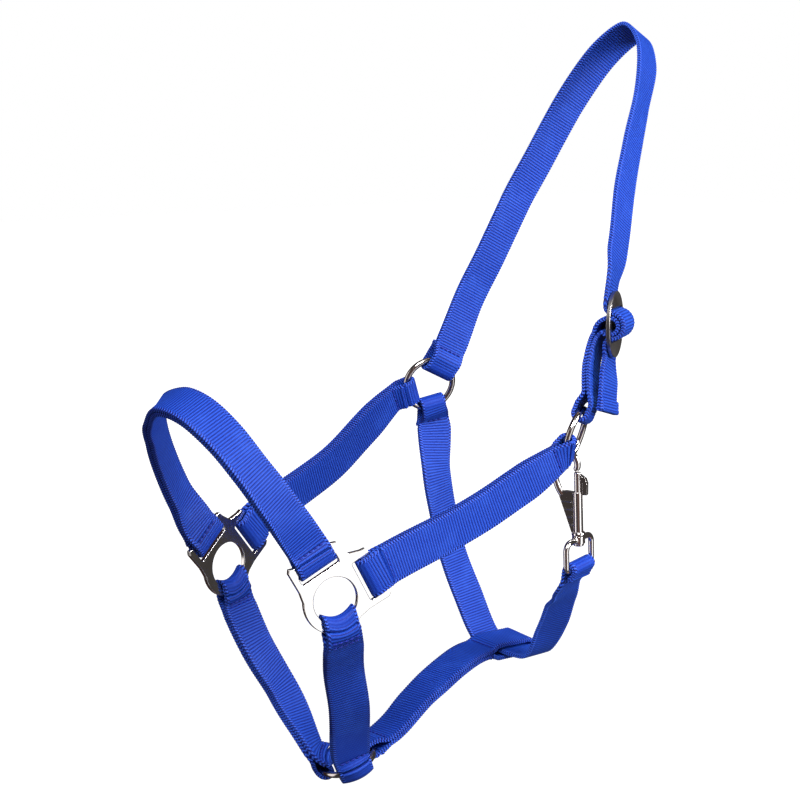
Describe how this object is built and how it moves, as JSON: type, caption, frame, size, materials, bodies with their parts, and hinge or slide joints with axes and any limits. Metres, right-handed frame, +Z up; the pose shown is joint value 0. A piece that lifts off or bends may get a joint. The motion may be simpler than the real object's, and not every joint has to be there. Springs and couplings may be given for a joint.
{
  "type": "head halter",
  "caption": "Webbing head halter with a noseband, crown strap and slide, throat strap on a bolt snap, cheek plates and rings, for leading and training.",
  "frame": {"origin": "midway between the centres of the round holes in the two cheek plates", "axes": "+X from the nose back to the poll, +Y from the animal's left (near) side to its right (far) side, +Z up"},
  "size_m": [0.3872, 0.1677, 0.4716],
  "materials": {
    "webbing": "ribbed nylon weave",
    "bright_nickel": "bright nickel plate",
    "dark_nickel": "dark nickel plate",
    "spring_steel": "plain"
  },
  "bodies": {
    "halter": {"noseband_looped_ply": "webbing", "noseband_covering_ply": "webbing", "near_cheek_looped_ply": "webbing", "near_cheek_covering_ply": "webbing", "far_cheek_looped_ply": "webbing", "far_cheek_covering_ply": "webbing", "near_chin_looped_ply": "webbing", "near_chin_covering_ply": "webbing", "far_chin_looped_ply": "webbing", "far_chin_covering_ply": "webbing", "jaw_looped_ply": "webbing", "jaw_covering_ply": "webbing", "throat_strap": "webbing", "crown_strap": "webbing", "buckle_chape": "webbing", "near_cheek_plate": "bright_nickel", "far_cheek_plate": "bright_nickel", "slide": "dark_nickel"},
    "near_ring": {"near_ring": "bright_nickel"},
    "far_ring": {"far_ring": "bright_nickel"},
    "chin_ring": {"chin_ring": "bright_nickel"},
    "crown_tail": {"crown_strap_tail": "webbing"},
    "throat_end": {"throat_strap_near_end": "webbing"},
    "eye": {"swivel_eye": "bright_nickel"},
    "snap": {"snap_body": "bright_nickel", "swivel_post": "bright_nickel"},
    "bolt": {"snap_bolt": "bright_nickel", "snap_spring": "spring_steel"}
  },
  "joints": [
    {"name": "near_ring_spin", "type": "hinge", "parent": "halter", "child": "near_ring", "pos_m": [0.179, -0.068, 0.08], "axis": [0.4998, -0.8197, -0.2799], "continuous": true},
    {"name": "far_ring_spin", "type": "hinge", "parent": "halter", "child": "far_ring", "pos_m": [0.171, 0.068, 0.097], "axis": [0.2592, 0.937, 0.2342], "continuous": true},
    {"name": "chin_ring_spin", "type": "hinge", "parent": "halter", "child": "chin_ring", "pos_m": [0.051, 0, -0.1225], "axis": [-0.3697, 0, 0.9292], "continuous": true},
    {"name": "tail_flap", "type": "hinge", "parent": "halter", "child": "crown_tail", "pos_m": [0.20701, -0.07038, 0.1262], "axis": [-0.853, -0.5219, 0], "range_deg": [0, 75]},
    {"name": "throat_swing", "type": "hinge", "parent": "halter", "child": "throat_end", "pos_m": [0.1952, -0.0011, -0.07875], "axis": [0.9936, 0.113, 0], "range_deg": [0, 90]},
    {"name": "eye_tilt", "type": "hinge", "parent": "throat_end", "child": "eye", "pos_m": [0.18535, -0.06655, -0.00546], "axis": [0.9545, 0.2914, 0.0631], "range_deg": [0, 72]},
    {"name": "snap_swivel", "type": "hinge", "parent": "eye", "child": "snap", "pos_m": [0.184, -0.067, 0.017], "axis": [-0.0599, -0.02, 0.998], "range_deg": [-20, 10]},
    {"name": "bolt_draw", "type": "slide", "parent": "snap", "child": "bolt", "axis": [0.0599, 0.02, -0.998], "range_m": [0, 0.007], "stiffness_N_per_m": 400, "springref_m": -0.004, "deforming": ["snap_spring"]}
  ],
  "couplings": [
    {"joint": "eye_tilt", "follows": "throat_swing", "ratio": 0.8}
  ]
}
